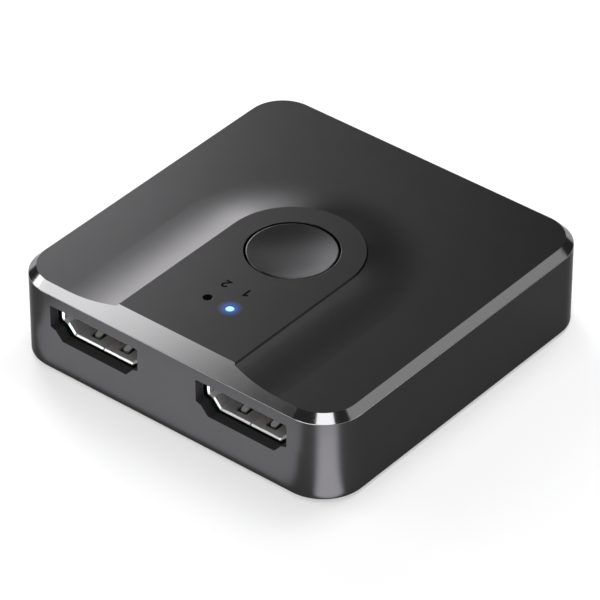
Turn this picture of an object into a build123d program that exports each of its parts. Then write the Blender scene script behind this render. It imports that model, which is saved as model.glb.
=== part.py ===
from build123d import *
import os

# A pocket-sized two-way switch for digital video. Two receptacles sit side by side in the
# front, one sits in the rear, and a push button on the roof chooses between the front two.
# A metal shell, closed below by a plastic cover, clamps a circuit board that carries the rest.
#
# Frame: +X to the right, +Y to the rear, +Z up, in millimetres. The origin lies on the table,
# under the middle of the case.

# ------------------------------------------------------------------ driving dimensions
# Case
case_width = 55.0
case_depth = 55.7
case_height = 13.2  # from the lower rim to the flat part of the roof
corner_radius = 6.32
edge_chamfer = 1.1
edge_softening = 0.12  # rounding between the cut edge and the walls
wall = 1.6
roof = 1.6
rim_wall = 1.0  # the thinner wall round the bottom cover

# Raised tongue on the roof: flat, with a round end behind the button
plateau_radius = 9.9
plateau_step = 0.24
step_run = 0.2
flare_rise = 0.83
flare_run = 7.9

# Bottom cover and feet
cover_thickness = 1.5
cover_gap = 0.1
post_height = 2.35
foot_radius = 3.6
foot_stand = 0.6
foot_seat = 0.5
foot_gap = 0.1
foot_from_side = 12.0
foot_from_end = 7.4
foot_rounding = 0.3

# Circuit board
board_thickness = 1.6
board_gap = 0.4
board_notch = 1.3  # how far a receptacle's mouth stands out over the notch in the board's edge
notch_gap = 0.3
slot_gap = 0.12  # round legs and leads that pass through the board

# Screws that clamp the cover and the board to the shell
boss_radius = 1.9
boss_inset = 2.9  # from the inner face of the wall
screw_radius = 1.0
screw_hole_gap = 0.15
thread_gap = 0.03
screw_bite = 3.5  # length held in the boss
pilot_spare = 0.7
screw_head_radius = 1.8
screw_head_height = 0.8
head_gap = 0.2
head_sink = 0.1
recess_length = 2.2
recess_width = 0.42
recess_depth = 0.45

# Receptacles
port_share = 0.616  # of the room between the light block and a boss, on the light block's side
port_setback = 0.3  # behind the inner face of the wall
port_length = 11.8
port_metal = 0.3
mouth_width = 14.0
mouth_height = 4.55
mouth_side_low = 1.6  # lower end of the upright sides
shoulder_width = 12.2
shoulder_height = 1.3
sill_width = 9.9
mouth_rounding = 0.25
mouth_bevel = 0.2  # on the inner edge of the folded sheet
cutout_side_gap = 0.62
cutout_low_gap = 0.43
cutout_top_gap = 0.1
leg_width = 1.2
leg_proud = 0.5
leg_depths = (2.2, 9.0)
leg_overlap = 1.0
seam_width = 0.08
seam_key_depth = 2.4
seam_key_length = 0.9
seam_key_width = 0.9
seam_key_flare = 0.2

# Spring tabs cut from the floor and the roof of each receptacle
tab_width = 0.95
tab_metal = 0.24
tab_tip_depth = 1.5
tab_crest_depth = 2.4
tab_root_depth = 5.6
tab_overlap = 0.4
tab_lift = 0.3
tab_tip_rounding = 0.35
tab_slot = 0.45
tab_spacing = 5.0

# Insulator and contacts
insulator_gap = 0.05
insulator_block = 2.6
tongue_width = 11.2
tongue_height = 1.3
tongue_low = 1.75
tongue_setback = 0.9
tongue_bevel = 0.25
contact_pitch = 1.0
contact_width = 0.4
contact_metal = 0.15
contact_setback = 0.5
contact_drop = 0.5
contact_foot = 0.6
upper_contacts = 10
lower_contacts = 9

# Push button
button_from_front = 25.75
button_hole_rounding = 0.1
cap_radius = 6.26
cap_gap = 0.22
cap_height = 1.7
cap_rounding = 0.2
cap_dish = 0.42
cap_sink = 0.07  # rim below the plateau
hub_radius = 5.4
flange_radius = 7.5
flange_height = 1.0
stem_radius = 1.6
skirt_gap = 0.12
skirt_wall = 0.9
skirt_depth = 2.0
press_travel = 0.25

# Tactile switch under the button
tact_size = 6.0
tact_base_height = 3.2
tact_cover_metal = 0.3
tact_floor = 1.2
tact_well_radius = 2.4
tact_height = 5.0  # board to the top of the actuator
actuator_radius = 1.7
actuator_gap = 0.08
actuator_flange_radius = 2.25
actuator_flange_height = 0.7
actuator_nub_radius = 0.8
dome_radius = 2.1
dome_metal = 0.1
dome_spare = 0.25  # the dome stands taller than the travel by this
tact_leg_metal = 0.3
tact_leg_width = 0.7
tact_leg_spacing = 4.5
tact_leg_reach = 0.6
tact_leg_height = 0.7

# Channel lights
light_spacing = 3.8
light_from_front = 10.65
light_hole_radius = 0.65
light_hole_rounding = 0.07
pipe_gap = 0.04
pipe_sink = 0.1
pipe_radius = 0.9
pipe_flange_radius = 1.35
pipe_flange_height = 0.5
shroud_bore_radius = 1.05
shroud_wall = 0.45
led_length = 1.6
led_width = 0.8
led_base_height = 0.35
led_lens_length = 1.1
led_lens_height = 0.4
led_air = 0.2  # lens to light pipe

# Parts soldered to the board: middle of each on the board, in x and y
chips = {
    "video_chip": dict(spot=(-13.5, 2.0), size=(7.0, 7.0, 1.0), sides=4, pins=12, pitch=0.5, lead=0.22),
    "logic_chip": dict(spot=(13.5, 2.0), size=(3.9, 4.9, 1.4), sides=2, pins=4, pitch=1.27, lead=0.42),
    "regulator": dict(spot=(14.5, 12.0), size=(1.6, 2.9, 1.1), sides=2, pins=3, pitch=0.95, lead=0.4),
}
crystal_spot = (13.5, -4.0)
crystal_size = (3.2, 2.5, 0.8)
chip_stand = 0.1
lead_metal = 0.15
lead_reach = 0.4
lead_foot = 0.5
surge_size = (2.5, 1.0, 0.5)
surge_spacing = 4.4
surge_space = 3.0  # from the back of a receptacle
capacitor_size = (1.6, 0.8, 0.8)
capacitor_spots = [(-21.0, -2.0), (-21.0, 2.0), (-21.0, 6.0), (-15.5, 9.5), (-11.5, 9.5)]
capacitor_spots += [(19.0, 9.0), (19.0, 15.0)]
resistor_size = (1.6, 0.8, 0.45)
resistor_spots = [(7.5, 6.0), (7.5, 8.0), (7.5, 4.0), (19.5, 2.0), (19.5, -1.0)]
resistor_spots += [(-5.5, -8.5), (5.5, -8.5)]
solder_cap = 0.3
small_rounding = 0.1

# ------------------------------------------------------------------ levels and places
case_bottom = foot_stand
case_top = case_bottom + case_height
flare_top = case_top + flare_rise
plateau_top = flare_top + plateau_step
ceiling = case_top - roof
cover_top = case_bottom + cover_thickness
board_bottom = cover_top + post_height
board_top = board_bottom + board_thickness
mouth_floor = board_top + port_metal

button_y = button_from_front - case_depth / 2
light_y = light_from_front - case_depth / 2

flare_inner = plateau_radius + step_run
flare_outer = flare_inner + flare_run
crown_reach = case_width + case_depth

inner_width = case_width - 2 * wall
inner_depth = case_depth - 2 * wall
screw_pitch_x = inner_width - 2 * boss_inset
screw_pitch_y = inner_depth - 2 * boss_inset
screw_hole_radius = screw_radius + screw_hole_gap
foot_pitch_x = case_width - 2 * foot_from_side
foot_pitch_y = case_depth - 2 * foot_from_end

tongue_top = tongue_low + tongue_height
block_depth = port_length - insulator_block
leg_middle = (mouth_width + port_metal) / 2

button_hole_radius = cap_radius + cap_gap
skirt_bore = flange_radius + skirt_gap
actuator_top = board_top + tact_height
light_floor = ceiling - pipe_flange_height

port_front = case_depth / 2 - wall - port_setback
port_half_width = mouth_width / 2 + port_metal
shroud_radius = shroud_bore_radius + shroud_wall
shroud_half_width = light_spacing / 2 + shroud_radius
port_room = screw_pitch_x / 2 - boss_radius - shroud_half_width - 2 * port_half_width
front_port_x = shroud_half_width + port_half_width + port_share * port_room


def facing_front(x):
    """The mouth plane of a front receptacle: X across, Y up, Z out of the mouth."""
    return Plane(origin=(x, -port_front, mouth_floor), x_dir=(1, 0, 0), z_dir=(0, -1, 0))


def facing_rear(x):
    """The mouth plane of a rear receptacle: X across, Y up, Z out of the mouth."""
    return Plane(origin=(x, port_front, mouth_floor), x_dir=(-1, 0, 0), z_dir=(0, 1, 0))


ports = {
    "front_left_port": facing_front(-front_port_x),
    "front_right_port": facing_front(front_port_x),
    "rear_port": facing_rear(0),
}


def mouth_outline(side_gap=0.0, low_gap=0.0, top_gap=0.0):
    """A receptacle's outline, larger than its mouth by the gaps."""
    side = mouth_width / 2 + side_gap
    shoulder = shoulder_width / 2 + side_gap
    sill = sill_width / 2 + side_gap
    top = mouth_height + top_gap
    right = [
        (sill, -low_gap),
        (shoulder, shoulder_height - low_gap),
        (side, mouth_side_low - low_gap),
        (side, top),
    ]
    left = [(-x, y) for x, y in reversed(right)]
    with BuildSketch() as outline:
        with BuildLine():
            Polyline(*right, *left, close=True)
        make_face()
        fillet(vertices(), mouth_rounding)
    return outline.sketch


def side_plane(mouth, across=0.0):
    """A plane along a receptacle's length: X inward from the mouth, Y up."""
    inward = mouth.z_dir * -1
    upright = Plane(origin=mouth.origin, x_dir=inward, z_dir=mouth.x_dir)
    return upright.offset(across)


# ------------------------------------------------------------------ case
# The roof's cross-section: flat sides, a hollow flare up to the plateau, and the flat plateau.
with BuildSketch() as crown_half:
    with BuildLine():
        Polyline((0, case_bottom), (crown_reach, case_bottom), (crown_reach, case_top))
        Line((crown_reach, case_top), (flare_outer, case_top))
        TangentArc((flare_outer, case_top), (flare_inner, flare_top), tangent=(-1, 0))
        Line((flare_inner, flare_top), (plateau_radius, plateau_top))
        Polyline((plateau_radius, plateau_top), (0, plateau_top), (0, case_bottom))
    make_face()

with BuildPart() as crown:
    with BuildSketch(Plane.XZ.offset(-button_y)):
        add(crown_half.sketch)
        mirror(about=Plane.YZ)
    extrude(amount=case_depth)
    with BuildSketch(Plane.XZ.offset(-button_y)):
        add(crown_half.sketch)
    revolve(axis=Axis((0, button_y, 0), (0, 0, 1)), revolution_arc=180)

with BuildPart() as top_shell:
    with BuildSketch(Plane.XY.offset(case_bottom)):
        RectangleRounded(case_width, case_depth, corner_radius)
    extrude(amount=plateau_top - case_bottom)
    # One cut at 45 degrees runs round the roof, so it is widest where the plateau meets it.
    chamfer(faces().sort_by(Axis.Z)[-1].edges(), length=edge_chamfer + plateau_top - case_top)
    cut_level = case_top - edge_chamfer
    fillet(edges().filter_by_position(Axis.Z, cut_level, cut_level), radius=edge_softening)
    add(crown.part, mode=Mode.INTERSECT)

    # The hollow, and below it the wider seat of the bottom cover.
    with BuildSketch(Plane.XY.offset(case_bottom)):
        RectangleRounded(inner_width, inner_depth, corner_radius - wall)
    extrude(amount=ceiling - case_bottom, mode=Mode.SUBTRACT)
    with BuildSketch(Plane.XY.offset(case_bottom)):
        RectangleRounded(case_width - 2 * rim_wall, case_depth - 2 * rim_wall, corner_radius - rim_wall)
    extrude(amount=cover_thickness, mode=Mode.SUBTRACT)

    # Four screw bosses reach down from the roof to the board.
    with BuildSketch(Plane.XY.offset(board_top)):
        with GridLocations(screw_pitch_x, screw_pitch_y, 2, 2):
            Circle(boss_radius)
    extrude(amount=ceiling + roof / 2 - board_top)
    with BuildSketch(Plane.XY.offset(board_top)):
        with GridLocations(screw_pitch_x, screw_pitch_y, 2, 2):
            Circle(screw_radius + thread_gap)
    extrude(amount=screw_bite + pilot_spare, mode=Mode.SUBTRACT)

    # A skirt under the roof guides the button's flange.
    with BuildSketch(Plane.XY.offset(ceiling - skirt_depth)):
        with Locations((0, button_y)):
            Circle(skirt_bore + skirt_wall)
            Circle(skirt_bore, mode=Mode.SUBTRACT)
    extrude(amount=skirt_depth + roof / 2)

    # The button's hole and the two light holes.
    with BuildSketch(Plane.XY.offset(ceiling - roof)):
        with Locations((0, button_y)):
            Circle(button_hole_radius)
        with Locations((0, light_y)):
            with GridLocations(light_spacing, 0, 2, 1):
                Circle(light_hole_radius)
    extrude(amount=plateau_top - ceiling + 2 * roof, mode=Mode.SUBTRACT)
    roof_edges = edges().filter_by(GeomType.CIRCLE).filter_by_position(Axis.Z, plateau_top, plateau_top)
    first_light_edge, second_light_edge, button_edge = roof_edges.sort_by(SortBy.RADIUS)[:3]
    fillet(button_edge, radius=button_hole_rounding)
    fillet([first_light_edge, second_light_edge], radius=light_hole_rounding)

    # A window in the wall in front of each receptacle.
    for mouth in ports.values():
        with BuildSketch(mouth.offset(-port_setback)):
            add(mouth_outline(cutout_side_gap, cutout_low_gap, cutout_top_gap))
        extrude(amount=wall + 2 * port_setback, mode=Mode.SUBTRACT)

top_shell.part.label = "top_shell"
export_step(top_shell.part, "parts/top_shell.step")

# ------------------------------------------------------------------ bottom cover, feet, screws
with BuildPart() as bottom_cover:
    with BuildSketch(Plane.XY.offset(case_bottom)):
        RectangleRounded(
            case_width - 2 * (rim_wall + cover_gap),
            case_depth - 2 * (rim_wall + cover_gap),
            corner_radius - rim_wall - cover_gap,
        )
    extrude(amount=cover_thickness)
    with BuildSketch(Plane.XY.offset(cover_top)):
        with GridLocations(screw_pitch_x, screw_pitch_y, 2, 2):
            Circle(boss_radius)
    extrude(amount=post_height)
    with BuildSketch(Plane.XY.offset(case_bottom)):
        with GridLocations(screw_pitch_x, screw_pitch_y, 2, 2):
            Circle(screw_hole_radius)
    extrude(amount=board_bottom - case_bottom, mode=Mode.SUBTRACT)
    with BuildSketch(Plane.XY.offset(case_bottom)):
        with GridLocations(screw_pitch_x, screw_pitch_y, 2, 2):
            Circle(screw_head_radius + head_gap)
    extrude(amount=head_sink + screw_head_height, mode=Mode.SUBTRACT)
    with BuildSketch(Plane.XY.offset(case_bottom)):
        with GridLocations(foot_pitch_x, foot_pitch_y, 2, 2):
            Circle(foot_radius + foot_gap)
    extrude(amount=foot_seat, mode=Mode.SUBTRACT)

bottom_cover.part.label = "bottom_cover"
export_step(bottom_cover.part, "parts/bottom_cover.step")

foot_spots = {
    "front_left_foot": (-foot_pitch_x / 2, -foot_pitch_y / 2),
    "front_right_foot": (foot_pitch_x / 2, -foot_pitch_y / 2),
    "rear_left_foot": (-foot_pitch_x / 2, foot_pitch_y / 2),
    "rear_right_foot": (foot_pitch_x / 2, foot_pitch_y / 2),
}

for foot_name, foot_spot in foot_spots.items():
    with BuildPart() as foot:
        with BuildSketch():
            with Locations(foot_spot):
                Circle(foot_radius)
        extrude(amount=foot_stand + foot_seat)
        fillet(faces().sort_by(Axis.Z)[0].edges(), radius=foot_rounding)
    foot.part.label = foot_name
    export_step(foot.part, f"parts/{foot_name}.step")

head_bottom = case_bottom + head_sink
head_top = head_bottom + screw_head_height

with BuildPart() as case_screws:
    with BuildSketch(Plane.XY.offset(head_bottom)):
        with GridLocations(screw_pitch_x, screw_pitch_y, 2, 2):
            Circle(screw_head_radius)
    extrude(amount=screw_head_height)
    with BuildSketch(Plane.XY.offset(head_top)):
        with GridLocations(screw_pitch_x, screw_pitch_y, 2, 2):
            Circle(screw_radius)
    extrude(amount=board_top + screw_bite - head_top)
    # A cross recess in each head.
    with BuildSketch(Plane.XY.offset(head_bottom)):
        with GridLocations(screw_pitch_x, screw_pitch_y, 2, 2):
            Rectangle(recess_length, recess_width)
            Rectangle(recess_width, recess_length)
    extrude(amount=recess_depth, mode=Mode.SUBTRACT)

case_screws.part.label = "case_screws"
export_step(case_screws.part, "parts/case_screws.step")

# ------------------------------------------------------------------ receptacles
legs_bottom = -(port_metal + board_thickness + leg_proud)
legs_top = mouth_side_low + leg_overlap


def build_tab(mouth, across, rooted, bent):
    """A spring tab, bent up to a crest and down to its tip, from the level rooted towards bent."""
    step = tab_metal if rooted < bent else -tab_metal
    with BuildPart() as tab:
        with BuildSketch(side_plane(mouth, across)):
            with BuildLine():
                Polyline(
                    (tab_root_depth + tab_overlap, rooted),
                    (tab_root_depth, rooted),
                    (tab_crest_depth, bent),
                    (tab_tip_depth, rooted),
                    (tab_tip_depth, rooted + step),
                    (tab_crest_depth, bent + step),
                    (tab_root_depth, rooted + step),
                    (tab_root_depth + tab_overlap, rooted + step),
                    close=True,
                )
            make_face()
        extrude(amount=tab_width / 2, both=True)
        tip_edges = edges().filter_by(Axis.Z).sort_by(Axis(mouth.origin, mouth.z_dir))[-2:]
        fillet(tip_edges, radius=tab_tip_rounding)
    return tab.part


def build_port_shell(name, mouth):
    """The receptacle's folded metal shell, with its spring tabs, floor seam and board legs."""
    sheet_slack = (port_metal - tab_metal) / 2
    floor_low = -port_metal + sheet_slack
    roof_high = mouth_height + port_metal - sheet_slack
    floor_plane = Plane(origin=mouth.origin - mouth.y_dir * port_metal, x_dir=mouth.x_dir, z_dir=mouth.y_dir)
    roof_plane = floor_plane.offset(port_metal + mouth_height)
    window_length = tab_root_depth - tab_tip_depth + tab_slot
    with BuildPart() as shell:
        with BuildSketch(mouth):
            add(mouth_outline())
            offset(amount=port_metal, kind=Kind.INTERSECTION)
        extrude(amount=-port_length)
        with BuildSketch(mouth):
            add(mouth_outline())
        extrude(amount=-port_length, mode=Mode.SUBTRACT)
        mouth_face = faces().sort_by(Axis(mouth.origin, mouth.z_dir))[-1]
        chamfer(mouth_face.inner_wires()[0].edges(), length=mouth_bevel)
        # Windows in the floor and the roof, each with a spring tab bent a little into the mouth.
        for window_plane in (floor_plane, roof_plane):
            with BuildSketch(window_plane):
                with Locations((0, tab_root_depth - window_length / 2)):
                    with GridLocations(tab_spacing, 0, 2, 1):
                        RectangleRounded(tab_width + 2 * tab_slot, window_length, tab_tip_rounding)
            extrude(amount=port_metal, mode=Mode.SUBTRACT)
        for across in (-tab_spacing / 2, tab_spacing / 2):
            add(build_tab(mouth, across, floor_low, floor_low + tab_lift))
            add(build_tab(mouth, across, roof_high, roof_high - tab_lift))
        # The seam where the sheet's two ends meet, locked by a dovetail key.
        seam_key_end = seam_key_depth + seam_key_length
        with BuildSketch(floor_plane):
            with BuildLine():
                Polyline(
                    (0, 0),
                    (0, seam_key_depth),
                    (seam_key_width, seam_key_depth - seam_key_flare),
                    (seam_key_width, seam_key_end + seam_key_flare),
                    (0, seam_key_end),
                    (0, port_length),
                )
            trace(line_width=seam_width)
        extrude(amount=port_metal, mode=Mode.SUBTRACT)
        # Four legs run down the sides and through the board.
        for leg_depth in leg_depths:
            with BuildSketch(mouth.offset(-leg_depth)):
                with Locations((-leg_middle, legs_bottom), (leg_middle, legs_bottom)):
                    Rectangle(port_metal, legs_top - legs_bottom, align=(Align.CENTER, Align.MIN))
            extrude(amount=-leg_width)
    shell.part.label = f"{name}_shell"
    export_step(shell.part, f"parts/{name}_shell.step")


def build_contact_row(name, mouth, count, strip_top):
    """One row of contacts along the tongue, bent down behind the insulator to the board."""
    tail = port_length + contact_drop
    pad = -port_metal
    with BuildPart() as row:
        for index in range(count):
            across = (index - (count - 1) / 2) * contact_pitch
            with BuildSketch(side_plane(mouth, across)):
                with BuildLine():
                    Polyline(
                        (tongue_setback + contact_setback, strip_top),
                        (tail, strip_top),
                        (tail, pad + contact_metal),
                        (tail + contact_foot, pad + contact_metal),
                        (tail + contact_foot, pad),
                        (tail - contact_metal, pad),
                        (tail - contact_metal, strip_top - contact_metal),
                        (tongue_setback + contact_setback, strip_top - contact_metal),
                        close=True,
                    )
                make_face()
            extrude(amount=contact_width / 2, both=True)
    row.part.label = name
    export_step(row.part, f"parts/{name}.step")
    return row.part


def build_insulator(name, mouth, rows):
    """The plastic block at the back of a receptacle, and its tongue between the contact rows."""
    with BuildPart() as insulator:
        with BuildSketch(mouth.offset(-block_depth)):
            add(mouth_outline(-insulator_gap, -insulator_gap, -insulator_gap))
        extrude(amount=-insulator_block)
        with BuildSketch(mouth.offset(-tongue_setback)):
            with Locations((0, tongue_low + tongue_height / 2)):
                Rectangle(tongue_width, tongue_height)
        extrude(amount=tongue_setback - block_depth)
        tongue_tip = faces().sort_by(Axis(mouth.origin, mouth.z_dir))[-1]
        chamfer(tongue_tip.edges(), length=tongue_bevel)
        for row in rows:
            add(row, mode=Mode.SUBTRACT)
    insulator.part.label = name
    export_step(insulator.part, f"parts/{name}.step")


for port_name, port_mouth in ports.items():
    build_port_shell(port_name, port_mouth)
    upper_row = build_contact_row(f"{port_name}_upper_contacts", port_mouth, upper_contacts, tongue_top)
    lower_row = build_contact_row(
        f"{port_name}_lower_contacts", port_mouth, lower_contacts, tongue_low + contact_metal
    )
    build_insulator(f"{port_name}_insulator", port_mouth, [upper_row, lower_row])

# ------------------------------------------------------------------ push button
cap_top = plateau_top - cap_sink
cap_bottom = cap_top - cap_height
flange_bottom = ceiling - flange_height
dish_radius = cap_radius - cap_rounding
dish_curve = (dish_radius**2 + cap_dish**2) / (2 * cap_dish)

with BuildPart() as button_cap:
    with BuildSketch(Plane.XZ.offset(-button_y)):
        with BuildLine():
            Polyline((0, cap_bottom), (cap_radius, cap_bottom), (cap_radius, cap_top - cap_rounding))
            RadiusArc((cap_radius, cap_top - cap_rounding), (dish_radius, cap_top), -cap_rounding)
            # The top is a shallow dish, lowest in the middle.
            RadiusArc((dish_radius, cap_top), (0, cap_top - cap_dish), dish_curve)
            Line((0, cap_top - cap_dish), (0, cap_bottom))
        make_face()
    revolve(axis=Axis((0, button_y, 0), (0, 0, 1)))

button_cap.part.label = "button_cap"
export_step(button_cap.part, "parts/button_cap.step")

with BuildPart() as button_plunger:
    with BuildSketch(Plane.XY.offset(ceiling)):
        with Locations((0, button_y)):
            Circle(hub_radius)
    extrude(amount=cap_bottom - ceiling)
    with BuildSketch(Plane.XY.offset(flange_bottom)):
        with Locations((0, button_y)):
            Circle(flange_radius)
    extrude(amount=flange_height)
    with BuildSketch(Plane.XY.offset(actuator_top)):
        with Locations((0, button_y)):
            Circle(stem_radius)
    extrude(amount=flange_bottom - actuator_top)

button_plunger.part.label = "button_plunger"
export_step(button_plunger.part, "parts/button_plunger.step")

# ------------------------------------------------------------------ tactile switch
tact_cover_bottom = board_top + tact_base_height
well_floor = board_top + tact_floor
dome_rise = press_travel + dome_spare
nub_bottom = well_floor + dome_rise + dome_metal
dome_curve = (dome_radius**2 + dome_rise**2) / (2 * dome_rise)
tact_flange_bottom = tact_cover_bottom - actuator_flange_height

with BuildPart() as tact_base:
    with BuildSketch(Plane.XY.offset(board_top)):
        with Locations((0, button_y)):
            Rectangle(tact_size, tact_size)
    extrude(amount=tact_base_height)
    with BuildSketch(Plane.XY.offset(well_floor)):
        with Locations((0, button_y)):
            Circle(tact_well_radius)
    extrude(amount=tact_cover_bottom - well_floor, mode=Mode.SUBTRACT)

tact_base.part.label = "tact_base"
export_step(tact_base.part, "parts/tact_base.step")

with BuildPart() as tact_cover:
    with BuildSketch(Plane.XY.offset(tact_cover_bottom)):
        with Locations((0, button_y)):
            Rectangle(tact_size, tact_size)
            Circle(actuator_radius + actuator_gap, mode=Mode.SUBTRACT)
    extrude(amount=tact_cover_metal)

tact_cover.part.label = "tact_cover"
export_step(tact_cover.part, "parts/tact_cover.step")

with BuildPart() as tact_actuator:
    with BuildSketch(Plane.XY.offset(tact_cover_bottom)):
        with Locations((0, button_y)):
            Circle(actuator_radius)
    extrude(amount=actuator_top - tact_cover_bottom)
    with BuildSketch(Plane.XY.offset(tact_flange_bottom)):
        with Locations((0, button_y)):
            Circle(actuator_flange_radius)
    extrude(amount=actuator_flange_height)
    with BuildSketch(Plane.XY.offset(nub_bottom)):
        with Locations((0, button_y)):
            Circle(actuator_nub_radius)
    extrude(amount=tact_flange_bottom - nub_bottom)

tact_actuator.part.label = "tact_actuator"
export_step(tact_actuator.part, "parts/tact_actuator.step")

# A shallow metal dome that snaps flat when pressed.
with BuildPart() as tact_dome:
    with BuildSketch(Plane.XZ.offset(-button_y)):
        with BuildLine():
            RadiusArc((dome_radius, well_floor), (0, well_floor + dome_rise), -dome_curve)
            Line((0, well_floor + dome_rise), (0, nub_bottom))
            RadiusArc((0, nub_bottom), (dome_radius, well_floor + dome_metal), dome_curve)
            Line((dome_radius, well_floor + dome_metal), (dome_radius, well_floor))
        make_face()
    revolve(axis=Axis((0, button_y, 0), (0, 0, 1)))

tact_dome.part.label = "tact_dome"
export_step(tact_dome.part, "parts/tact_dome.step")

# Four bent legs leave the base's sides and run down through the board.
tact_side = tact_size / 2
leg_top = board_top + tact_leg_height
tact_leg_x = tact_side + tact_leg_reach

with BuildPart() as tact_legs:
    for side in (-1, 1):
        for across in (-tact_leg_spacing / 2, tact_leg_spacing / 2):
            with BuildSketch(Plane.XZ.offset(-button_y - across)):
                with BuildLine():
                    Polyline(
                        (side * tact_side, leg_top),
                        (side * tact_leg_x, leg_top),
                        (side * tact_leg_x, board_bottom - leg_proud),
                        (side * (tact_leg_x - tact_leg_metal), board_bottom - leg_proud),
                        (side * (tact_leg_x - tact_leg_metal), leg_top - tact_leg_metal),
                        (side * tact_side, leg_top - tact_leg_metal),
                        close=True,
                    )
                make_face()
            extrude(amount=tact_leg_width / 2, both=True)

tact_legs.part.label = "tact_legs"
export_step(tact_legs.part, "parts/tact_legs.step")

# ------------------------------------------------------------------ channel lights
lens_top = board_top + led_base_height + led_lens_height

for channel, side in (("channel_1", 1), ("channel_2", -1)):
    light_spot = (side * light_spacing / 2, light_y)
    with BuildPart() as light_pipe:
        with BuildSketch(Plane.XY.offset(lens_top + led_air)):
            with Locations(light_spot):
                Circle(pipe_radius)
        extrude(amount=light_floor - lens_top - led_air)
        with BuildSketch(Plane.XY.offset(light_floor)):
            with Locations(light_spot):
                Circle(pipe_flange_radius)
        extrude(amount=pipe_flange_height)
        with BuildSketch(Plane.XY.offset(ceiling)):
            with Locations(light_spot):
                Circle(light_hole_radius - pipe_gap)
        extrude(amount=plateau_top - pipe_sink - ceiling)
    light_pipe.part.label = f"{channel}_light_pipe"
    export_step(light_pipe.part, f"parts/{channel}_light_pipe.step")

    with BuildPart() as led_base:
        with BuildSketch(Plane.XY.offset(board_top)):
            with Locations(light_spot):
                Rectangle(led_length, led_width)
        extrude(amount=led_base_height)
    led_base.part.label = f"{channel}_led_base"
    export_step(led_base.part, f"parts/{channel}_led_base.step")

    with BuildPart() as led_lens:
        with BuildSketch(Plane.XY.offset(board_top + led_base_height)):
            with Locations(light_spot):
                Rectangle(led_lens_length, led_width)
        extrude(amount=led_lens_height)
    led_lens.part.label = f"{channel}_led_lens"
    export_step(led_lens.part, f"parts/{channel}_led_lens.step")

# A dark block round both lights keeps them apart and carries the light pipes.
with BuildPart() as light_shroud:
    with BuildSketch(Plane.XY.offset(board_top)):
        with Locations((0, light_y)):
            SlotCenterToCenter(light_spacing, 2 * shroud_radius)
            with GridLocations(light_spacing, 0, 2, 1):
                Circle(shroud_bore_radius, mode=Mode.SUBTRACT)
    extrude(amount=light_floor - board_top)

light_shroud.part.label = "light_shroud"
export_step(light_shroud.part, "parts/light_shroud.step")

# ------------------------------------------------------------------ parts soldered to the board
def lead_outline(height):
    """A gull-wing lead's profile: X away from the package's side, Y up from the board."""
    with BuildSketch() as outline:
        with BuildLine():
            Polyline(
                (0, height),
                (lead_reach, height),
                (lead_reach, lead_metal),
                (lead_reach + lead_foot, lead_metal),
                (lead_reach + lead_foot, 0),
                (lead_reach - lead_metal, 0),
                (lead_reach - lead_metal, height - lead_metal),
                (0, height - lead_metal),
                close=True,
            )
        make_face()
    return outline.sketch


def build_chip(name, spot, size, sides, pins, pitch, lead):
    """A moulded package and, as a second piece, its rows of leads on two or four sides."""
    across, along, height = size
    x, y = spot
    with BuildPart() as package:
        with BuildSketch(Plane.XY.offset(board_top + chip_stand)):
            with Locations(spot):
                Rectangle(across, along)
        extrude(amount=height)
        chamfer(faces().sort_by(Axis.Z)[-1].edges(), length=small_rounding)
    package.part.label = name
    export_step(package.part, f"parts/{name}.step")

    right_and_left = [(Vector(1, 0, 0), across / 2), (Vector(-1, 0, 0), across / 2)]
    rear_and_front = [(Vector(0, 1, 0), along / 2), (Vector(0, -1, 0), along / 2)]
    with BuildPart() as leads:
        for outward, reach in (right_and_left + rear_and_front)[:sides]:
            row = Vector(0, 0, 1).cross(outward)
            start = Vector(x, y, board_top) + outward * reach
            for index in range(pins):
                shift = row * ((index - (pins - 1) / 2) * pitch)
                with BuildSketch(Plane(origin=start + shift, x_dir=outward, z_dir=row * -1)):
                    add(lead_outline(chip_stand + height / 2))
                extrude(amount=lead / 2, both=True)
    leads.part.label = f"{name}_leads"
    export_step(leads.part, f"parts/{name}_leads.step")


for chip_name, chip in chips.items():
    build_chip(chip_name, **chip)


def build_blocks(name, spots, size):
    """A group of small rectangular parts that lie flat on the board."""
    length, width, height = size
    with BuildPart() as blocks:
        with BuildSketch(Plane.XY.offset(board_top)):
            with Locations(*spots):
                Rectangle(length, width)
        extrude(amount=height)
        fillet(edges().filter_by(Axis.Z), radius=small_rounding)
    blocks.part.label = name
    export_step(blocks.part, f"parts/{name}.step")


def build_chip_parts(name, spots, size):
    """Two-terminal parts: the bodies as one piece, their solder caps as another."""
    length, width, height = size
    build_blocks(name, spots, (length - 2 * solder_cap, width, height))
    cap_shift = (length - solder_cap) / 2
    cap_spots = [(x + shift, y) for x, y in spots for shift in (-cap_shift, cap_shift)]
    build_blocks(f"{name}_terminals", cap_spots, (solder_cap, width, height))


surge_y = port_front - port_length - surge_space
surge_shifts = (-surge_spacing / 2, surge_spacing / 2)
surge_spots = [(x + shift, -surge_y) for x in (-front_port_x, front_port_x) for shift in surge_shifts]
surge_spots += [(shift, surge_y) for shift in surge_shifts]

build_chip_parts("capacitors", capacitor_spots, capacitor_size)
build_chip_parts("resistors", resistor_spots, resistor_size)
build_blocks("surge_protectors", surge_spots, surge_size)
build_blocks("crystal", [crystal_spot], crystal_size)

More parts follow.
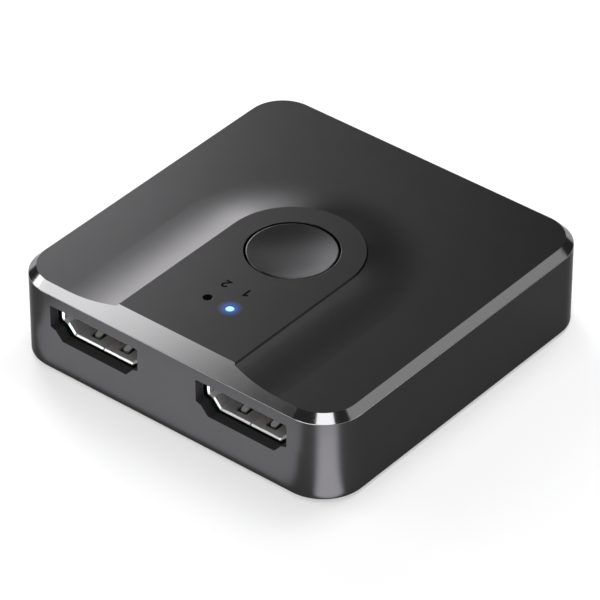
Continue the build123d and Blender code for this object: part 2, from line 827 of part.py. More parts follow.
# ------------------------------------------------------------------ circuit board
with BuildPart() as circuit_board:
    with BuildSketch(Plane.XY.offset(board_bottom)):
        RectangleRounded(
            inner_width - 2 * board_gap,
            inner_depth - 2 * board_gap,
            corner_radius - wall - board_gap,
        )
        with GridLocations(screw_pitch_x, screw_pitch_y, 2, 2):
            Circle(screw_hole_radius, mode=Mode.SUBTRACT)
        # A notch in the edge under each receptacle's mouth.
        for mouth in ports.values():
            with Locations((mouth.origin.X, mouth.origin.Y)):
                Rectangle(2 * (port_half_width + notch_gap), 2 * board_notch, mode=Mode.SUBTRACT)
        # Slots for the receptacles' legs.
        for mouth in ports.values():
            for leg_depth in leg_depths:
                leg_line = mouth.origin - mouth.z_dir * (leg_depth + leg_width / 2)
                with Locations((leg_line.X, leg_line.Y)):
                    with GridLocations(2 * leg_middle, 0, 2, 1):
                        Rectangle(port_metal + 2 * slot_gap, leg_width + 2 * slot_gap, mode=Mode.SUBTRACT)
        # Slots for the tactile switch's legs.
        with Locations((0, button_y)):
            with GridLocations(2 * tact_leg_x - tact_leg_metal, tact_leg_spacing, 2, 2):
                Rectangle(tact_leg_metal + 2 * slot_gap, tact_leg_width + 2 * slot_gap, mode=Mode.SUBTRACT)
    extrude(amount=board_thickness)

circuit_board.part.label = "circuit_board"
export_step(circuit_board.part, "parts/circuit_board.step")
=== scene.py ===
"""A pocket-sized two-way switch for digital video, dressed for rendering.

Every length is in metres. Azimuth 0 is the front (-Y), 90 the right (+X); elevation is above the floor.
"""
from math import cos, pi, radians, sin

import bmesh
import bpy
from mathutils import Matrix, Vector


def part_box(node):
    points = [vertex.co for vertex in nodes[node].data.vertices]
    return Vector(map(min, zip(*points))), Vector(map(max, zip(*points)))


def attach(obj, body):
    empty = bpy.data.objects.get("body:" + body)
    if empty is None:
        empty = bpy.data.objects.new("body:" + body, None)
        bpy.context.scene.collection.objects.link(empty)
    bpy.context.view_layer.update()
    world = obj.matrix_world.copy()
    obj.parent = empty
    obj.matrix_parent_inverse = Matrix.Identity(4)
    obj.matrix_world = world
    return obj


MM = 0.001
HOUSING = "housing"

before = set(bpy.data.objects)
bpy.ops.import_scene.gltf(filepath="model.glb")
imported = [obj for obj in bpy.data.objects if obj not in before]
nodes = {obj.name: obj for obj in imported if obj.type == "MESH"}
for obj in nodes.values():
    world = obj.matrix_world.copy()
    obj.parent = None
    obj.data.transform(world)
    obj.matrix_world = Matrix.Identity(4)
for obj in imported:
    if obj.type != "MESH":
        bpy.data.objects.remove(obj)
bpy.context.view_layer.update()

# ------------------------------------------------------------------ places read from the frame
shell_low, shell_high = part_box("top_shell")
CASE_BOTTOM = shell_low.z
PLATEAU_TOP = shell_high.z
LIT_LIGHT = sum(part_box("channel_1_light_pipe"), Vector()) / 2
DARK_LIGHT = sum(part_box("channel_2_light_pipe"), Vector()) / 2


def direction(azimuth, elevation):
    """The unit vector from the object towards that azimuth and elevation, in degrees."""
    a, e = radians(azimuth), radians(elevation)
    return Vector((sin(a) * cos(e), -cos(a) * cos(e), sin(e)))


# ------------------------------------------------------------------ camera, floor and lamps
CAMERA_AZIMUTH = 39.4
CAMERA_ELEVATION = 36.7
CAMERA_DISTANCE = 613.7 * MM
CAMERA_LENS = 273.08
AIM_RIGHT = -0.30 * MM
AIM_UP = 3.85 * MM

FLOOR_RADIUS = 3.0
FLOOR_SEGMENTS = 96
FLOOR_WHITE = 0.92
FLOOR_OWN_WHITE = 0.45  # how much of the floor's white doesn't depend on the lamps
CLIP_NEAR = CAMERA_DISTANCE / 20
CLIP_FAR = FLOOR_RADIUS * 4

STUDIO_CENTRE = Vector((0, 0, 7 * MM))
WORLD_GREY = 0.05
KEY_TINT = (1.0, 0.985, 1.03)
FLOOR_LAMP_TINT = (0.98, 0.96, 1.06)
FLOOR_LAMP_RISE = 0.4 * MM
CORNER_RADIUS = 6.32 * MM
CORNER_LAMP_AZIMUTH = 47.5
CORNER_LAMP_GAP = 0.5 * MM
CORNER_LAMP_LENGTH = 22 * MM
CORNER_LAMP_WIDTH = 26 * MM
CORNER_LAMP_BRIGHTNESS = 6.2
CORNER_FAN_HALF_ANGLE = 19
CORNER_FAN_SOFT_ANGLE = 6
FRONT_LAMP_PLACE = -4.5 * MM  # its middle, along X
FRONT_LAMP_GAP = 1 * MM
FRONT_LAMP_LENGTH = 16 * MM
FRONT_LAMP_WIDTH = 51 * MM
FRONT_LAMP_BRIGHTNESS = 2.4
FRONT_LAMP_FADE = (0.0, 0.06)
PLAIN = (1, 1, 1)

# Each panel's name, azimuth, elevation, distance, width, height, brightness and tint. The two keys
# stand at the back left; the others give the metal something to mirror from other sides.
PANELS = (
    ("key_high", -121, 34, 0.30, 0.125, 0.085, 3.6, KEY_TINT),
    ("key_low", -121, 18, 0.30, 0.125, 0.085, 19.0, KEY_TINT),
    ("front_left_panel", -55, 32, 0.30, 0.22, 0.13, 2.4, PLAIN),
    ("front_panel", 5, 12, 0.34, 0.24, 0.08, 5.5, PLAIN),
    ("front_edge_strip", -31, 5, 0.32, 0.20, 0.03, 4.0, PLAIN),
    ("left_corner_spot", -64, 25, 0.27, 0.09, 0.07, 3.0, PLAIN),
    ("upper_back_panel", 170, 62, 0.36, 0.16, 0.15, 7.4, PLAIN),
    ("roof_panel", -144, 35, 0.30, 0.06, 0.05, 1.35, PLAIN),
    ("left_back_panel", -136, 13, 0.30, 0.055, 0.11, 5.6, KEY_TINT),
    ("low_back_panel", -163, 14, 0.32, 0.13, 0.10, 1.7, PLAIN),
    ("corner_panel", 44.5, 52, 0.32, 0.165, 0.09, 3.1, PLAIN),
    ("right_panel", 128, 35, 0.32, 0.24, 0.14, 0.6, PLAIN),
    ("top_panel", 0, 88, 0.40, 0.30, 0.30, 1.8, PLAIN),
    ("front_right_panel", 39, 26, 0.36, 0.26, 0.12, 1.6, PLAIN),
    ("low_right_panel", 110, 10, 0.36, 0.22, 0.07, 1.6, PLAIN),
)
# The shares of a panel's width at which its light is nothing and full.
PANEL_FADES = {"front_left_panel": (0.059, 0.227), "left_corner_spot": (0.0, 0.6)}


def add_camera():
    """The camera, at the angle and distance of the reference view."""
    camera = bpy.data.objects.new("camera", bpy.data.cameras.new("camera"))
    bpy.context.scene.collection.objects.link(camera)
    back = direction(CAMERA_AZIMUTH, CAMERA_ELEVATION)
    right = direction(CAMERA_AZIMUTH + 90, 0)
    up = back.cross(right)
    aim = Vector((0, 0, CASE_BOTTOM)) + right * AIM_RIGHT + up * AIM_UP
    camera.location = aim + back * CAMERA_DISTANCE
    camera.rotation_mode = "QUATERNION"
    camera.rotation_quaternion = (-back).to_track_quat("-Z", "Y")
    camera.data.lens = CAMERA_LENS
    camera.data.clip_start = CLIP_NEAR
    camera.data.clip_end = CLIP_FAR
    bpy.context.scene.camera = camera


def add_panel(name, azimuth, elevation, distance, width, height, brightness, tint):
    """A soft rectangular lamp that faces the object. Brightness 1 looks white in a mirror."""
    lamp = bpy.data.lights.new(name, "AREA")
    lamp.shape = "RECTANGLE"
    lamp.size = width
    lamp.size_y = height
    lamp.energy = brightness * pi * width * height
    lamp.color = tint
    panel = bpy.data.objects.new(name, lamp)
    bpy.context.scene.collection.objects.link(panel)
    towards = direction(azimuth, elevation)
    panel.location = STUDIO_CENTRE + towards * distance
    panel.rotation_mode = "QUATERNION"
    panel.rotation_quaternion = (-towards).to_track_quat("-Z", "Y")
    panel.visible_camera = False
    return panel


def fade_panel(panel, dark, full):
    """Lets a panel's light rise from nothing to all between two shares of its width, from its right end."""
    lamp = panel.data
    lamp.use_nodes = True
    tree = lamp.node_tree
    place = tree.nodes.new("ShaderNodeNewGeometry")
    split = tree.nodes.new("ShaderNodeSeparateXYZ")
    tree.links.new(place.outputs["Parametric"], split.inputs[0])
    ramp = tree.nodes.new("ShaderNodeMapRange")
    ramp.interpolation_type = "SMOOTHSTEP"
    ramp.inputs["From Min"].default_value = 1 - dark
    ramp.inputs["From Max"].default_value = 1 - full
    tree.links.new(split.outputs["X"], ramp.inputs["Value"])
    tree.links.new(ramp.outputs["Result"], tree.nodes["Emission"].inputs["Strength"])


def add_floor_lamp(name, azimuth, near_edge, length, width, brightness, tint):
    """A lamp that lies on the floor beside the object, facing up, where its walls mirror it."""
    lamp = add_panel(name, azimuth, 0, 0, width, length, brightness, tint)
    lamp.location = near_edge + direction(azimuth, 0) * (length / 2)
    lamp.location.z = FLOOR_LAMP_RISE
    lamp.rotation_mode = "XYZ"
    lamp.rotation_euler = (pi, 0, radians(azimuth))
    return lamp


def fan_floor_lamp(lamp, centre, azimuth, half_angle, soft_angle):
    """Narrows a floor lamp to a fan of light round a point on the floor."""
    lamp.data.use_nodes = True
    tree = lamp.data.node_tree
    place = tree.nodes.new("ShaderNodeNewGeometry")
    away = tree.nodes.new("ShaderNodeVectorMath")
    away.operation = "SUBTRACT"
    away.inputs[1].default_value = (centre.x, centre.y, FLOOR_LAMP_RISE)
    tree.links.new(place.outputs["Position"], away.inputs[0])
    straight = tree.nodes.new("ShaderNodeVectorMath")
    straight.operation = "NORMALIZE"
    tree.links.new(away.outputs[0], straight.inputs[0])
    along = tree.nodes.new("ShaderNodeVectorMath")
    along.operation = "DOT_PRODUCT"
    along.inputs[1].default_value = direction(azimuth, 0)
    tree.links.new(straight.outputs[0], along.inputs[0])
    ramp = tree.nodes.new("ShaderNodeMapRange")
    ramp.interpolation_type = "SMOOTHSTEP"
    ramp.inputs["From Min"].default_value = cos(radians(half_angle + soft_angle))
    ramp.inputs["From Max"].default_value = cos(radians(half_angle - soft_angle))
    tree.links.new(along.outputs["Value"], ramp.inputs["Value"])
    tree.links.new(ramp.outputs["Result"], tree.nodes["Emission"].inputs["Strength"])


def add_studio():
    """The panels round the object, two lamps on the floor, and a dim world."""
    for name, *settings in PANELS:
        panel = add_panel(name, *settings)
        if name in PANEL_FADES:
            fade_panel(panel, *PANEL_FADES[name])

    corner_centre = Vector((shell_high.x - CORNER_RADIUS, shell_low.y + CORNER_RADIUS, 0))
    corner_reach = CORNER_RADIUS + CORNER_LAMP_GAP
    corner_edge = corner_centre + direction(CORNER_LAMP_AZIMUTH, 0) * corner_reach
    corner_lamp = add_floor_lamp(
        "corner_floor_lamp", CORNER_LAMP_AZIMUTH, corner_edge, CORNER_LAMP_LENGTH, CORNER_LAMP_WIDTH,
        CORNER_LAMP_BRIGHTNESS, FLOOR_LAMP_TINT)
    fan_floor_lamp(
        corner_lamp, corner_centre, CORNER_LAMP_AZIMUTH, CORNER_FAN_HALF_ANGLE, CORNER_FAN_SOFT_ANGLE)

    front_edge = Vector((FRONT_LAMP_PLACE, shell_low.y - FRONT_LAMP_GAP, 0))
    front_lamp = add_floor_lamp(
        "front_floor_lamp", 0, front_edge, FRONT_LAMP_LENGTH, FRONT_LAMP_WIDTH,
        FRONT_LAMP_BRIGHTNESS, FLOOR_LAMP_TINT)
    fade_panel(front_lamp, *FRONT_LAMP_FADE)

    world = bpy.data.worlds.new("studio")
    world.use_nodes = True
    world.node_tree.nodes["Background"].inputs["Color"].default_value = (WORLD_GREY,) * 3 + (1,)
    bpy.context.scene.world = world


def add_floor():
    """A pale round floor, whose white comes in part from itself, so that it stays pale in reflections."""
    mesh = bpy.data.meshes.new("floor")
    disc = bmesh.new()
    bmesh.ops.create_circle(disc, cap_ends=True, segments=FLOOR_SEGMENTS, radius=FLOOR_RADIUS)
    disc.to_mesh(mesh)
    disc.free()
    floor = bpy.data.objects.new("floor", mesh)
    bpy.context.scene.collection.objects.link(floor)

    material = bpy.data.materials.new("floor_white")
    material.use_nodes = True
    tree = material.node_tree
    tree.nodes.clear()
    paint = tree.nodes.new("ShaderNodeBsdfDiffuse")
    paint.inputs["Color"].default_value = (FLOOR_WHITE,) * 3 + (1,)
    glow = tree.nodes.new("ShaderNodeEmission")
    rays = tree.nodes.new("ShaderNodeLightPath")
    seen = tree.nodes.new("ShaderNodeMath")
    seen.operation = "MAXIMUM"
    tree.links.new(rays.outputs["Is Camera Ray"], seen.inputs[0])
    tree.links.new(rays.outputs["Is Glossy Ray"], seen.inputs[1])
    seen_through = tree.nodes.new("ShaderNodeMath")
    seen_through.operation = "MAXIMUM"
    tree.links.new(seen.outputs[0], seen_through.inputs[0])
    tree.links.new(rays.outputs["Is Transmission Ray"], seen_through.inputs[1])
    share = tree.nodes.new("ShaderNodeMath")
    share.operation = "MULTIPLY"
    share.inputs[1].default_value = FLOOR_OWN_WHITE
    tree.links.new(seen_through.outputs[0], share.inputs[0])
    mix = tree.nodes.new("ShaderNodeMixShader")
    tree.links.new(share.outputs[0], mix.inputs["Fac"])
    tree.links.new(paint.outputs[0], mix.inputs[1])
    tree.links.new(glow.outputs[0], mix.inputs[2])
    output = tree.nodes.new("ShaderNodeOutputMaterial")
    tree.links.new(mix.outputs[0], output.inputs["Surface"])
    mesh.materials.append(material)


# ------------------------------------------------------------------ materials
NOISE_LOW, NOISE_HIGH = 0.25, 0.75  # most of a noise's values lie between these


class Finish:
    """A node material on one Principled shader, built up step by step."""

    def __init__(self, name):
        self.material = bpy.data.materials.new(name)
        self.material.use_nodes = True
        self.tree = self.material.node_tree
        self.shader = self.tree.nodes["Principled BSDF"]
        self.coordinates = self.node("ShaderNodeTexCoord")

    def node(self, kind, **settings):
        made = self.tree.nodes.new(kind)
        for name, value in settings.items():
            setattr(made, name, value)
        return made

    def link(self, source, target):
        self.tree.links.new(source, target)

    def put(self, target, value):
        """Links a socket, or sets a plain value."""
        if isinstance(value, bpy.types.NodeSocket):
            self.link(value, target)
        else:
            target.default_value = value

    def math(self, operation, first, second=0.0, clamp=False):
        """One operation on two numbers or sockets."""
        made = self.node("ShaderNodeMath", operation=operation, use_clamp=clamp)
        self.put(made.inputs[0], first)
        self.put(made.inputs[1], second)
        return made.outputs[0]

    def noise(self, size, detail=2.0):
        """Noise from 0 to 1, whose blotches are about that size in metres."""
        made = self.node("ShaderNodeTexNoise")
        made.inputs["Scale"].default_value = 1 / size
        made.inputs["Detail"].default_value = detail
        self.link(self.coordinates.outputs["Object"], made.inputs["Vector"])
        return made.outputs["Fac"]

    def spread(self, factor, low, high):
        """A number that runs from low to high as the factor runs over the middle of its range."""
        made = self.node("ShaderNodeMapRange", clamp=True)
        made.inputs["From Min"].default_value = NOISE_LOW
        made.inputs["From Max"].default_value = NOISE_HIGH
        self.put(made.inputs["To Min"], low)
        self.put(made.inputs["To Max"], high)
        self.link(factor, made.inputs["Value"])
        return made.outputs["Result"]

    def mix(self, factor, first, second):
        """Blends two colours."""
        made = self.node("ShaderNodeMix", data_type="RGBA")
        self.put(made.inputs["Factor"], factor)
        colours = [socket for socket in made.inputs if socket.type == "RGBA"]
        for socket, value in zip(colours, (first, second)):
            self.put(socket, (*value, 1) if isinstance(value, tuple) else value)
        return next(socket for socket in made.outputs if socket.type == "RGBA")

    def blend(self, factor, first, second):
        """Blends two numbers."""
        made = self.node("ShaderNodeMix", data_type="FLOAT")
        numbers = [socket for socket in made.inputs if socket.type == "VALUE"]
        for socket, value in zip(numbers, (factor, first, second)):
            self.put(socket, value)
        return next(socket for socket in made.outputs if socket.type == "VALUE")

    def bump(self, height, depth):
        """Roughens the surface by a height from 0 to 1, over that depth in metres."""
        made = self.node("ShaderNodeBump")
        made.inputs["Distance"].default_value = depth
        self.put(made.inputs["Height"], height)
        self.link(made.outputs["Normal"], self.shader.inputs["Normal"])

    def axis(self, source, name):
        """One axis, X, Y or Z, of the place or the direction that a coordinate output gives."""
        split = self.node("ShaderNodeSeparateXYZ")
        self.link(self.coordinates.outputs[source], split.inputs[0])
        return split.outputs[name]

    def facing_up(self):
        """How far the surface faces upwards, from -1 to 1, in the object's own frame."""
        return self.axis("Normal", "Z")

    def near(self, value, target, margin):
        """1 where the value is within the margin of the target, else 0."""
        made = self.node("ShaderNodeMath", operation="COMPARE")
        self.put(made.inputs[0], value)
        made.inputs[1].default_value = target
        made.inputs[2].default_value = margin
        return made.outputs[0]

    def distance_to(self, point):
        """The distance from that point, measured level."""
        flat = self.node("ShaderNodeVectorMath", operation="MULTIPLY")
        flat.inputs[1].default_value = (1, 1, 0)
        self.link(self.coordinates.outputs["Object"], flat.inputs[0])
        made = self.node("ShaderNodeVectorMath", operation="DISTANCE")
        made.inputs[1].default_value = (point.x, point.y, 0)
        self.link(flat.outputs[0], made.inputs[0])
        return made.outputs["Value"]


def tinted(colour, share):
    """The colour, made lighter or darker by that share."""
    return tuple(channel * share for channel in colour)


BLOTCH_GRAINS = 30  # a blotch's size, in grains
GLOSS_SPREAD = 0.15


def surface(name, colour, roughness, metallic=0.0, grain=0.08 * MM, depth=0.002 * MM, mottle=0.12):
    """A plain part's finish: slightly mottled colour and gloss, over a fine grain."""
    finish = Finish(name)
    cloudy = finish.noise(grain * BLOTCH_GRAINS)
    dark, light = tinted(colour, 1 - mottle), tinted(colour, 1 + mottle)
    shade = finish.mix(finish.spread(cloudy, 0.0, 1.0), dark, light)
    finish.link(shade, finish.shader.inputs["Base Color"])
    fine = finish.noise(grain, detail=3.0)
    gloss = finish.spread(fine, roughness * (1 - GLOSS_SPREAD), roughness * (1 + GLOSS_SPREAD))
    finish.link(gloss, finish.shader.inputs["Roughness"])
    finish.shader.inputs["Metallic"].default_value = metallic
    finish.bump(fine, depth)
    return finish


SHELL_GREY = (0.0405, 0.0401, 0.0398)
CUT_GREY = (0.30, 0.30, 0.305)
EDGE_TINT = 0.5  # the matt face shows little extra gloss at grazing angles
CUT_FACING = cos(radians(45))
CUT_MARGIN = 0.04
CUT_FROM_MIDDLE = 20 * MM
CUT_LOW_EDGE = PLATEAU_TOP - 2.17 * MM
CUT_LOW_EDGE_MARGIN = 0.1 * MM
LOW_EDGE_FACING = 0.36
LOW_EDGE_FACING_MARGIN = 0.33
CUT_GLOSS = (0.115, 0.13)
SATIN_GRAIN = 0.06 * MM
SATIN_BLOTCH = 3 * MM
SATIN_SHADE = 0.03
SATIN_GLOSS_SPREAD = 0.05
SATIN_DEPTH = 0.0006 * MM


def anodised(name, colour=SHELL_GREY, roughness=0.30):
    """Satin anodised metal with its 45 degree edges cut bright."""
    finish = Finish(name)
    fine = finish.noise(SATIN_GRAIN)
    cloudy = finish.noise(SATIN_BLOTCH)
    slope = finish.near(finish.facing_up(), CUT_FACING, CUT_MARGIN)
    outside = finish.math("GREATER_THAN", finish.distance_to(Vector()), CUT_FROM_MIDDLE)
    soft = finish.near(finish.facing_up(), LOW_EDGE_FACING, LOW_EDGE_FACING_MARGIN)
    at_low_edge = finish.near(finish.axis("Object", "Z"), CUT_LOW_EDGE, CUT_LOW_EDGE_MARGIN)
    low_edge = finish.math("MULTIPLY", soft, at_low_edge)
    cut = finish.math("MAXIMUM", finish.math("MULTIPLY", slope, outside), low_edge)
    dark, light = tinted(colour, 1 - SATIN_SHADE), tinted(colour, 1 + SATIN_SHADE)
    satin = finish.mix(finish.spread(cloudy, 0.0, 1.0), dark, light)
    finish.link(finish.mix(cut, satin, CUT_GREY), finish.shader.inputs["Base Color"])
    sleek, matt = roughness * (1 - SATIN_GLOSS_SPREAD), roughness * (1 + SATIN_GLOSS_SPREAD)
    satin_gloss = finish.spread(fine, sleek, matt)
    cut_gloss = finish.spread(cloudy, *CUT_GLOSS)
    finish.link(finish.blend(cut, satin_gloss, cut_gloss), finish.shader.inputs["Roughness"])
    finish.shader.inputs["Metallic"].default_value = 1.0
    finish.shader.inputs["Specular Tint"].default_value = (EDGE_TINT, EDGE_TINT, EDGE_TINT, 1)
    height = finish.blend(cut, fine, 0.5)
    finish.bump(height, SATIN_DEPTH)
    return finish


# Painted glow: blue emission on the shell's top round the lit light's hole, standing in for the light that
# it throws
GLOW_REACH = 1.85 * MM
GLOW_STRENGTH = 0.70
GLOW_COLOUR = (0.04, 0.25, 1.0)
GLOW_FALL = 1.5  # the power by which the glow falls off
GLOW_FACING = 0.6  # only faces that look up this far take the glow
LENS_REACH = 0.64 * MM
LENS_FALL = 5.0
LENS_MIDDLE = (0.46, 0.95, 1.0)
LENS_RIM = (0.05, 0.26, 1.0)
# Painted shade: a near-black matt colour on the shell's inner faces and window edges, standing in for the
# shade inside the windows
INSIDE_PAINTED_SHADE = (0.019, 0.0185, 0.019)
INSIDE_ROUGHNESS = 0.55
INSIDE_HALF = shell_high.x - CORNER_RADIUS
INSIDE_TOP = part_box("front_left_port_shell")[1].z + 0.6 * MM  # just over the windows
SKIN = 0.02 * MM  # keeps the mask off the outer faces


def inside_share(finish):
    """1 on the shell's inner faces and the edges of its windows, else 0."""
    across = finish.math("ABSOLUTE", finish.axis("Object", "X"))
    along = finish.math("ABSOLUTE", finish.axis("Object", "Y"))
    low = finish.math("LESS_THAN", finish.axis("Object", "Z"), INSIDE_TOP)
    between = finish.math("LESS_THAN", across, INSIDE_HALF)
    behind = finish.math("LESS_THAN", along, -shell_low.y - SKIN)
    return finish.math("MULTIPLY", finish.math("MULTIPLY", low, between), behind)


def case_metal():
    """The shell's metal, dull and painted dark inside and on its windows' edges as painted shade, with a
    painted blue glow round the lit light's hole for the light that it throws.
    """
    finish = anodised("case_metal")
    inside = inside_share(finish)
    colour = finish.shader.inputs["Base Color"].links[0].from_socket
    # painted shade on the inner faces and window edges
    finish.link(finish.mix(inside, colour, INSIDE_PAINTED_SHADE), finish.shader.inputs["Base Color"])
    gloss = finish.shader.inputs["Roughness"].links[0].from_socket
    finish.link(finish.blend(inside, gloss, INSIDE_ROUGHNESS), finish.shader.inputs["Roughness"])
    finish.link(finish.blend(inside, 1.0, 0.0), finish.shader.inputs["Metallic"])
    # the painted glow, fading out from the lit light's middle
    reach = finish.math("DIVIDE", finish.distance_to(LIT_LIGHT), GLOW_REACH)
    rest = finish.math("SUBTRACT", 1.0, reach, clamp=True)
    glow = finish.math("POWER", rest, GLOW_FALL)
    on_top = finish.math("GREATER_THAN", finish.facing_up(), GLOW_FACING)
    strength = finish.math("MULTIPLY", finish.math("MULTIPLY", glow, on_top), GLOW_STRENGTH)
    finish.shader.inputs["Emission Color"].default_value = (*GLOW_COLOUR, 1)
    finish.link(strength, finish.shader.inputs["Emission Strength"])
    return finish


def lit_lens():
    """The lit light pipe: pale cyan in the middle, blue towards its rim."""
    finish = surface("lit_lens", (0.02, 0.05, 0.08), 0.25, grain=0.2 * MM)
    share = finish.math("DIVIDE", finish.distance_to(LIT_LIGHT), LENS_REACH, clamp=True)
    colour = finish.mix(finish.math("POWER", share, LENS_FALL), LENS_MIDDLE, LENS_RIM)
    finish.link(colour, finish.shader.inputs["Emission Color"])
    finish.shader.inputs["Emission Strength"].default_value = 1.0
    return finish


SPRING_FACING = 0.95
SPRING_MARGIN = 0.048
RIM_FACING = 0.6
PORT_X = sum(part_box("front_right_port_shell"), Vector()).x / 2
SEAM_HALF = 0.09 * MM
SHEET_GREY = (0.60, 0.59, 0.60)
SHEET_METALLIC = 0.6
# Painted highlights: lighter colours on the springs and the rims, where light falls on them
SPRING_PAINTED_HIGHLIGHT = (0.85, 0.85, 0.84)
RIM_PAINTED_HIGHLIGHT = (0.90, 0.90, 0.90)
RIM_ROUGHNESS = 0.32
# Painted shade: a dark line along each shell's seam, standing in for the shade in its gap
SEAM_PAINTED_SHADE = (0.06, 0.06, 0.06)


def port_steel():
    """Dull plated sheet, with painted highlights on the receptacles' rims and their gently sloping springs,
    and painted shade along the seams.
    """
    finish = surface("port_steel", SHEET_GREY, 0.42, SHEET_METALLIC, grain=0.1 * MM, mottle=0.05)
    dull = finish.shader.inputs["Base Color"].links[0].from_socket
    dull_gloss = finish.shader.inputs["Roughness"].links[0].from_socket
    spring = finish.near(finish.facing_up(), SPRING_FACING, SPRING_MARGIN)
    outwards = finish.math("ABSOLUTE", finish.axis("Normal", "Y"))
    rim = finish.math("GREATER_THAN", outwards, RIM_FACING)
    across = finish.math("ABSOLUTE", finish.axis("Object", "X"))
    seams = (finish.near(across, middle, SEAM_HALF) for middle in (0.0, PORT_X))
    seam = finish.math("MULTIPLY", finish.math("MAXIMUM", *seams), rim)
    # painted highlights on the springs, then on the rims
    sheet = finish.mix(spring, dull, SPRING_PAINTED_HIGHLIGHT)
    highlighted_sheet = finish.mix(rim, sheet, RIM_PAINTED_HIGHLIGHT)
    finish.link(finish.mix(seam, highlighted_sheet, SEAM_PAINTED_SHADE), finish.shader.inputs["Base Color"])
    finish.link(finish.blend(rim, dull_gloss, RIM_ROUGHNESS), finish.shader.inputs["Roughness"])
    finish.link(finish.blend(rim, SHEET_METALLIC, 1.0), finish.shader.inputs["Metallic"])
    return finish


def dark_lens():
    """The unlit light pipe: painted near black, as painted shade for the dark space under it."""
    finish = surface("dark_lens", (0.002, 0.002, 0.003), 0.12, grain=0.2 * MM)
    finish.shader.inputs["Specular IOR Level"].default_value = 0.0
    return finish


MASK_GREEN = (0.012, 0.055, 0.028)
TRACK_GREEN = (0.03, 0.13, 0.06)
TRACK_SCALE = 90
TRACK_WIDTH = 0.03


def board_laminate():
    """Green solder mask over copper tracks."""
    finish = surface("board_laminate", MASK_GREEN, 0.35, grain=0.15 * MM)
    tracks = finish.node("ShaderNodeTexBrick", offset=0.5, squash=2.0)
    tracks.inputs["Scale"].default_value = TRACK_SCALE
    tracks.inputs["Mortar Size"].default_value = TRACK_WIDTH
    finish.link(finish.coordinates.outputs["Object"], tracks.inputs["Vector"])
    base = finish.shader.inputs["Base Color"].links[0].from_socket
    colour = finish.mix(tracks.outputs["Fac"], base, TRACK_GREEN)
    finish.link(colour, finish.shader.inputs["Base Color"])
    return finish


FINISHES = {
    "case_metal": case_metal(),
    "button_metal": anodised("button_metal", (0.056, 0.0555, 0.056), 0.26),
    "cover_plastic": surface("cover_plastic", (0.022, 0.022, 0.024), 0.55, grain=0.25 * MM, depth=0.02 * MM),
    "foot_rubber": surface("foot_rubber", (0.012, 0.012, 0.012), 0.8, grain=0.15 * MM, depth=0.01 * MM),
    "screw_steel": surface("screw_steel", (0.10, 0.10, 0.105), 0.35, 1.0, grain=0.1 * MM),
    "board_laminate": board_laminate(),
    "plunger_plastic": surface("plunger_plastic", (0.025, 0.025, 0.025), 0.5),
    "switch_plastic": surface("switch_plastic", (0.02, 0.02, 0.02), 0.5),
    "switch_metal": surface("switch_metal", (0.62, 0.62, 0.6), 0.28, 1.0, mottle=0.05),
    "actuator_plastic": surface("actuator_plastic", (0.04, 0.04, 0.04), 0.45),
    "dome_metal": surface("dome_metal", (0.7, 0.69, 0.66), 0.25, 1.0, mottle=0.04),
    "tinned_metal": surface("tinned_metal", (0.68, 0.68, 0.66), 0.38, 1.0, mottle=0.08),
    "shroud_plastic": surface("shroud_plastic", (0.015, 0.015, 0.015), 0.6),
    "lit_lens": lit_lens(),
    "dark_lens": dark_lens(),
    "led_ceramic": surface("led_ceramic", (0.75, 0.73, 0.68), 0.6),
    "chip_epoxy": surface("chip_epoxy", (0.022, 0.022, 0.024), 0.6, grain=0.1 * MM, depth=0.006 * MM),
    "capacitor_ceramic": surface("capacitor_ceramic", (0.42, 0.29, 0.18), 0.55),
    "resistor_coat": surface("resistor_coat", (0.02, 0.02, 0.022), 0.3),
    "crystal_can": surface("crystal_can", (0.65, 0.64, 0.6), 0.3, 1.0, mottle=0.05),
    "port_steel": port_steel(),
    "port_plastic": surface("port_plastic", (0.015, 0.015, 0.015), 0.5),
    "contact_gold": surface("contact_gold", (0.83, 0.60, 0.22), 0.25, 1.0, mottle=0.04),
}


def dress_nodes():
    """Each CAD node gets the finish of its material slot."""
    for node in nodes.values():
        slot = node.data.materials[0].name.split(".")[0]
        node.data.materials[0] = FINISHES[slot].material


# ------------------------------------------------------------------ the numerals
NUMERAL_HEIGHT = 1.4 * MM
NUMERAL_STROKE = 0.3 * MM
INK_PROUD = 0.006 * MM
INK_SUNK = 0.004 * MM
ARC_STEPS = 14
ARC_START = 170  # degrees, where the 2's bowl begins
ARC_TURN = 205  # degrees that it goes round
MITRE_LIMIT = 0.5
# Outlines in millimetres, from each numeral's own origin; that origin is set from the light's middle.
TWO_BOWL_RADIUS = 0.38
TWO_BOWL_MIDDLE = 0.42
TWO_FOOT = ((0.04, 0.1), (0.88, 0.1))
TWO_OFFSET = Vector((0.41, 4.55, 0)) * MM
ONE_OFFSET = Vector((-0.45, 4.69, 0)) * MM
ONE_FLAG = (0.55, 0.3)


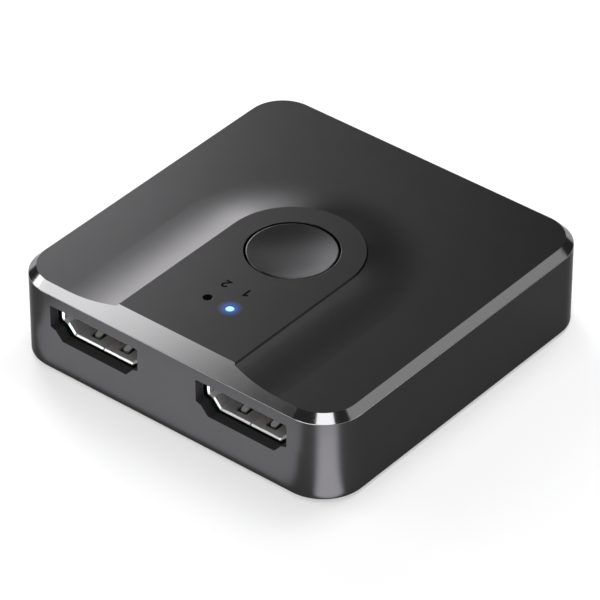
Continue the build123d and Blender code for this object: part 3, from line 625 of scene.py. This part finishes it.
def add_stroke(name, points, origin, ink):
    """A printed line of even width, read from the back of the object, on the housing's plateau."""
    drawn = [Vector((origin.x - u * MM, origin.y - v * MM)) for u, v in points]
    half = NUMERAL_STROKE / 2
    mesh = bmesh.new()
    rings = []
    for index, here in enumerate(drawn):
        before = (here - drawn[index - 1]).normalized() if index else None
        after = (drawn[index + 1] - here).normalized() if index + 1 < len(drawn) else None
        along = ((before or after) + (after or before)).normalized()
        across = Vector((-along.y, along.x))
        widening = 1 / max(MITRE_LIMIT, along.dot(after or before))
        offsets = (across * half * widening, -across * half * widening)
        heights = (PLATEAU_TOP - INK_SUNK, PLATEAU_TOP + INK_PROUD)
        left, right = ((here + offset) for offset in offsets)
        corners = ((left, heights[0]), (right, heights[0]), (right, heights[1]), (left, heights[1]))
        rings.append([mesh.verts.new((place.x, place.y, z)) for place, z in corners])
    for first, second in zip(rings, rings[1:]):
        for side in range(4):
            mesh.faces.new((first[side], first[side - 1], second[side - 1], second[side]))
    mesh.faces.new(rings[0])
    mesh.faces.new(rings[-1][::-1])
    bmesh.ops.recalc_face_normals(mesh, faces=mesh.faces)
    data = bpy.data.meshes.new(name)
    mesh.to_mesh(data)
    mesh.free()
    data.materials.append(ink.material)
    numeral = bpy.data.objects.new(name, data)
    bpy.context.scene.collection.objects.link(numeral)
    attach(numeral, HOUSING)


def add_numerals():
    """A plain 1 and 2 behind their channel lights."""
    ink = surface("print_ink", (0.004, 0.004, 0.004), 0.85, grain=0.05 * MM, depth=0.001 * MM)
    ink.shader.inputs["Specular IOR Level"].default_value = 0.0
    bowl = TWO_BOWL_RADIUS
    height = NUMERAL_HEIGHT / MM
    turns = [radians(ARC_START - ARC_TURN * step / ARC_STEPS) for step in range(ARC_STEPS + 1)]
    two = [(TWO_BOWL_MIDDLE + bowl * cos(turn), height - bowl + bowl * sin(turn)) for turn in turns]
    two += TWO_FOOT
    one = [(-ONE_FLAG[0], height - ONE_FLAG[1]), (0, height), (0, 0)]
    add_stroke("numeral_2", two, DARK_LIGHT + TWO_OFFSET, ink)
    add_stroke("numeral_1", one, LIT_LIGHT + ONE_OFFSET, ink)


add_camera()
add_floor()
add_studio()
dress_nodes()
add_numerals()

bpy.context.scene.view_settings.view_transform = "Standard"
